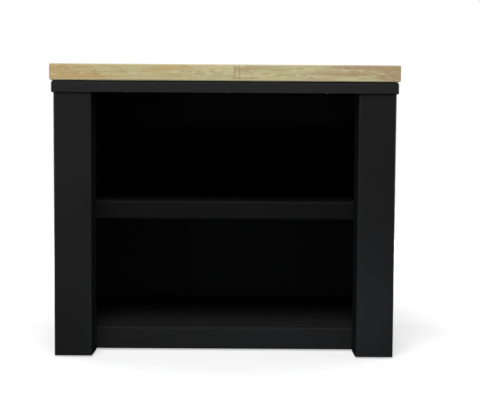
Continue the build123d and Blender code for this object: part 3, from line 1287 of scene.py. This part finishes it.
@dataclass
class FastenerSet:
    """Fasteners of one kind, each standing where its solid stands in the frame."""

    node: str
    fastener: Fastener
    facing: Facing | None = None
    slot: Slot = Slot.ZINC

    def build(self, finishes: Finishes) -> None:
        """Model and dress the set; with no facing, each one points to the middle of the table.

        Args:
            finishes: The materials.
        """
        group = Workpiece(f"{self.node}_set")
        for box in solid_boxes(self.node):
            centre = (box[0] + box[1]) / 2
            facing = self.facing or (Facing.LEFT if centre.x > 0 else Facing.RIGHT)
            pattern = self.fastener.model(facing.length(box))
            group.stamp(pattern, Matrix.Translation(centre) @ facing.turn())
        finish = finishes.oxide if self.slot is Slot.SCREW else finishes.zinc
        group.place(CABINET, self.slot, finish, self.node)


M6_STUD = ThreadedRod(radius=0.003, pitch=0.001)
M6_NUT = HexNut(flats=0.010, bore=0.00305)
M6_SCREW = ButtonScrew(head_radius=0.00525, head=0.0033, shank=M6_STUD)
M10_STUD = ThreadedRod(radius=0.005, pitch=0.0015, sides=20)
M10_NUT = HexNut(flats=0.017, bore=0.0051)
WOOD_SCREW = ButtonScrew(head_radius=0.005, head=0.0035, shank=ThreadedRod(radius=0.0025, pitch=0.0016))
WOOD_WASHER = Washer(radius=0.009, bore=0.0026)
FASTENER_SETS = (
    FastenerSet("left_weld_studs", M6_STUD, Facing.RIGHT),
    FastenerSet("right_weld_studs", M6_STUD, Facing.LEFT),
    FastenerSet("shelf_nuts", M6_NUT),
    FastenerSet("bracket_nuts", M6_NUT),
    FastenerSet("pan_weld_studs", M6_STUD, Facing.DOWN),
    FastenerSet("pan_nuts", M6_NUT, Facing.DOWN),
    FastenerSet("back_panel_weld_nuts", M6_NUT, Facing.BACK),
    FastenerSet("foot_weld_nuts", M10_NUT, Facing.UP),
    FastenerSet("worktop_washers", WOOD_WASHER, Facing.DOWN),
    FastenerSet("worktop_screws", WOOD_SCREW, Facing.DOWN),
    FastenerSet("back_panel_screws", M6_SCREW, Facing.BACK, Slot.SCREW),
)


@dataclass
class LevellingFoot:
    """A threaded stud with a hexagon collar on a round moulded pad that is hollow below."""

    corner: Corner
    thread: ThreadedRod = M10_STUD
    collar: HexNut = HexNut(flats=0.017, bore=0.004)
    collar_height: float = 0.006
    stud_sunk: float = 0.0025
    pad_sides: int = 40
    hollow_depth: float = 0.0015
    hollow_middle: float = 0.004
    hollow_radius: float = 0.010
    sole_radius: float = 0.012
    rim_ease: float = 0.0012
    rim_start: float = 0.0010
    rim_height: float = 0.003
    shoulder: float = 0.0010
    neck: float = 0.0118
    neck_ease: float = 0.0006
    neck_drop: float = 0.0008
    bore: float = 0.0055
    bore_depth: float = 0.003

    def build(self, finishes: Finishes) -> None:
        """Model and dress the pad and the stud.

        Args:
            finishes: The materials.
        """
        body = f"{self.corner.value}_foot"
        pad_lo, pad_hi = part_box(f"{body}_pad")
        middle = (pad_lo + pad_hi) / 2
        centre = Matrix.Translation((middle.x, middle.y, 0))
        self._pad(body, centre, pad_lo, pad_hi, finishes.plastic)
        self._stud(body, centre, pad_hi.z, finishes.zinc)

    def _pad(self, body: str, centre: Matrix, lo: Vector, hi: Vector, plastic: Material) -> None:
        """Model the pad from rings along its profile.

        Args:
            body: Body that it moves with.
            centre: Place of its middle on the floor.
            lo: Lowest corner of its solid.
            hi: Highest corner of its solid.
            plastic: The material.
        """
        pad = Workpiece(f"{body}_pad_moulding")
        radius = (hi.x - lo.x) / 2
        hollow = lo.z + self.hollow_depth
        rim = lo.z + self.rim_height
        profile = [
            (self.hollow_middle, hollow),
            (self.hollow_radius, hollow),
            (self.sole_radius, lo.z),
            (radius - self.rim_ease, lo.z),
            (radius, lo.z + self.rim_start),
            (radius, rim),
            (radius - self.shoulder, rim + self.shoulder),
            (self.neck + self.neck_ease, hi.z - self.neck_drop),
            (self.neck - self.neck_ease, hi.z),
            (self.bore, hi.z),
            (self.bore, hi.z - self.bore_depth),
        ]
        rings = [ring(pad.bm, out, height, self.pad_sides) for out, height in profile]
        bridge(pad.bm, *rings)
        bmesh.ops.holes_fill(pad.bm, edges=[*rings[0], *rings[-1]])
        bmesh.ops.transform(pad.bm, matrix=centre, verts=pad.bm.verts[:])
        pad.merge()
        pad.place(body, Slot.PLASTIC, plastic, f"{body}_pad")

    def _stud(self, body: str, centre: Matrix, seat: float, zinc: Material) -> None:
        """Model the stud and its collar.

        Args:
            body: Body that it moves with.
            centre: Place of its middle on the floor.
            seat: Height of the pad's top, where the collar sits.
            zinc: The material.
        """
        stud = Workpiece(f"{body}_stud_thread")
        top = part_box(f"{body}_stud")[1].z
        parts = [
            (self.collar, seat, seat + self.collar_height),
            (self.thread, seat - self.stud_sunk, top),
        ]
        for fastener, low, high in parts:
            middle = Matrix.Translation((0, 0, (low + high) / 2))
            stud.stamp(fastener.model(high - low), centre @ middle)
        stud.place(body, Slot.ZINC, zinc, f"{body}_stud")


@dataclass
class FootBrackets:
    """The folded foot brackets, which keep their solids from the frame."""

    corners: tuple[Corner, ...] = tuple(Corner)

    def build(self, finishes: Finishes) -> None:
        """Dress the brackets.

        Args:
            finishes: The materials.
        """
        for corner in self.corners:
            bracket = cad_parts[f"{corner.value}_foot_bracket"]
            bracket.data.materials.clear()
            bracket.data.materials.append(finishes.coat)
            LOG.info("%s: dressed", bracket.name)


@dataclass(frozen=True)
class Lamp:
    """A soft rectangular lamp that points at the table."""

    name: str
    place: Triple
    size: Range
    power: float
    tint: Colour = (1, 1, 1)
    aim: Triple = (0, 0, 0.4)

    def build(self) -> None:
        """Hang the lamp."""
        light = bpy.data.lights.new(self.name, "AREA")
        light.shape = "RECTANGLE"
        light.size, light.size_y = self.size
        light.energy = self.power
        light.color = self.tint
        lamp = bpy.data.objects.new(self.name, light)
        way = Vector(self.aim) - Vector(self.place)
        turn = way.to_track_quat("-Z", "Y").to_matrix().to_4x4()
        lamp.matrix_world = Matrix.Translation(self.place) @ turn
        bpy.context.scene.collection.objects.link(lamp)


@dataclass
class Studio:
    """Camera, floor, dark cards, world and lamps."""

    camera_place: Triple = (0.0351, -2.5184, 0.5364)
    pitch: float = math.radians(3.396)
    yaw: float = math.radians(0.126)
    roll: float = math.radians(0.363)
    lens: float = 66.18
    sensor: float = 36.0
    matt: float = 0.9
    floor_size: float = 12.0
    floor_tone: float = 0.55
    glow_range: Range = (0.6, 1.6)
    glow_start: float = 0.5
    card_tone: float = 0.004
    upright_place: Triple = (0, -3.4, 1.2)
    upright_size: Range = (5.0, 2.4)
    lying_place: Triple = (0, -1.6, 0.002)
    lying_size: Range = (3.2, 3.6)
    ambient: float = 0.05
    lamps: tuple[Lamp, ...] = (
        Lamp("overhead_box", (-0.25, -2.0, 2.95), (1.5, 2.0), 102, aim=(0, -0.25, 0.45)),
        Lamp("left_box", (-2.7, 0.9, 0.5), (1.0, 0.9), 55, aim=(-0.44, 0.1, 0.45)),
        Lamp("right_box", (2.7, 0.9, 0.5), (1.0, 0.9), 55, aim=(0.44, 0.1, 0.45)),
        Lamp("back_box", (0.3, 3.0, 0.6), (1.6, 0.9), 70),
        Lamp("left_strip", (-1.45, -2.5, 0.3), (0.3, 0.35), 5, aim=(-0.44, -0.24, 0.3)),
        Lamp("right_strip", (2.4, -1.3, 0.6), (0.3, 0.9), 4, aim=(-0.3, -0.24, 0.45)),
        Lamp("low_fill", (0.12, -0.85, 0.025), (0.8, 0.04), 1.5, (0.85, 0.93, 1.0), (0.1, -0.16, 0.03)),
    )

    def build(self) -> None:
        """Set up everything round the table."""
        self._camera()
        self._floor()
        self._cards()
        self._world()
        for lamp in self.lamps:
            lamp.build()
        bpy.context.scene.view_settings.view_transform = "Standard"

    def _camera(self) -> None:
        """Stand the camera where the photograph was taken."""
        forward = Vector(
            (
                math.sin(self.yaw) * math.cos(self.pitch),
                math.cos(self.yaw) * math.cos(self.pitch),
                -math.sin(self.pitch),
            )
        )
        level = Vector((math.cos(self.yaw), -math.sin(self.yaw), 0))
        upright = level.cross(forward)
        right = math.cos(self.roll) * level + math.sin(self.roll) * upright
        up = math.cos(self.roll) * upright - math.sin(self.roll) * level
        lens = bpy.data.cameras.new("view_camera")
        lens.lens = self.lens
        lens.sensor_width = self.sensor
        lens.sensor_fit = "HORIZONTAL"
        camera = bpy.data.objects.new("view_camera", lens)
        turn = Matrix((right, up, -forward)).transposed().to_4x4()
        camera.matrix_world = Matrix.Translation(self.camera_place) @ turn
        bpy.context.scene.collection.objects.link(camera)
        bpy.context.scene.camera = camera

    def _backdrop(self, name: str, size: Sequence[float], place: Matrix, material: Material) -> Object:
        """Add a flat sheet that isn't part of the object.

        Args:
            name: Name of the sheet.
            size: Width and height.
            place: Where it goes; it starts flat on the floor.
            material: Its material.

        Returns:
            The sheet.
        """
        bm = bmesh.new()
        bmesh.ops.create_grid(bm, size=0.5, matrix=place @ Matrix.Diagonal((size[0], size[1], 1, 1)))
        mesh = bpy.data.meshes.new(name)
        bm.to_mesh(mesh)
        bm.free()
        mesh.materials.append(material)
        sheet = bpy.data.objects.new(name, mesh)
        bpy.context.scene.collection.objects.link(sheet)
        return sheet

    def _floor(self) -> None:
        """Lay a floor that the camera sees white but for the table's soft shadow, and clear from below."""
        material, nodes, shader = surface(
            "pale_floor",
            Base_Color=grey(self.floor_tone),
            Emission_Color=grey(1),
            Roughness=self.matt,
            Specular_IOR_Level=0,
        )
        away = nodes.add("ShaderNodeVectorMath", {0: nodes.place()}, operation="LENGTH").outputs["Value"]
        glow = nodes.step(away, *self.glow_range, self.glow_start, 1)
        nodes.feed(shader.inputs["Emission Strength"], nodes.math("MULTIPLY", nodes.looked_at(), glow))
        clear = nodes.add("ShaderNodeBsdfTransparent").outputs[0]
        below = nodes.add("ShaderNodeNewGeometry").outputs["Backfacing"]
        sheet = nodes.add("ShaderNodeMixShader", {0: below, 1: shader.outputs[0], 2: clear})
        nodes.feed(material.node_tree.nodes["Material Output"].inputs["Surface"], sheet.outputs[0])
        self._backdrop("floor", (self.floor_size, self.floor_size), Matrix(), material)

    def _cards(self) -> None:
        """Stand a dark card behind the camera and lay one in front of it, for the black coat to mirror."""
        material = surface(
            "dark_card", Base_Color=grey(self.card_tone), Roughness=self.matt, Specular_IOR_Level=0
        )[0]
        upright = Matrix.Translation(self.upright_place) @ Matrix.Rotation(math.radians(90), 4, "X")
        lying = Matrix.Translation(self.lying_place)
        cards = [
            self._backdrop("upright_card", self.upright_size, upright, material),
            self._backdrop("lying_card", self.lying_size, lying, material),
        ]
        for card in cards:
            card.visible_camera = False
            card.visible_shadow = False
            card.visible_diffuse = False

    def _world(self) -> None:
        """Make the surroundings white to the camera and to reflections, and dim as light."""
        world = bpy.data.worlds.new("surroundings")
        bpy.context.scene.world = world
        world.use_nodes = True
        world.node_tree.nodes.clear()
        nodes = Nodes(world.node_tree)
        strength = nodes.math("MULTIPLY_ADD", nodes.looked_at(), 1 - self.ambient, self.ambient)
        light = nodes.add("ShaderNodeBackground", {"Color": grey(1), "Strength": strength})
        nodes.add("ShaderNodeOutputWorld", {"Surface": light.outputs[0]})


def main() -> None:
    """Build the studio, the finishes and every piece of the table."""
    logging.basicConfig(level=logging.INFO, format="%(name)s %(message)s")
    Studio().build()
    finishes = Finishes(Effects())
    Worktop().build(finishes)
    TopPan().build(finishes)
    for hand in Hand:
        SidePanel(hand).build(finishes)
    BackPanel().build(finishes)
    # The middle shelf takes the darker copy of the coat, which is painted shade.
    Shelf("middle_shelf").build(finishes.painted_shade_coat)
    # The bottom shelf takes the lighter copy of the coat, which is painted light.
    Shelf("bottom_shelf").build(finishes.plinth_painted_light_coat)
    FootBrackets().build(finishes)
    for corner in Corner:
        LevellingFoot(corner).build(finishes)
    for fasteners in FASTENER_SETS:
        fasteners.build(finishes)


if __name__ == "__main__":
    main()
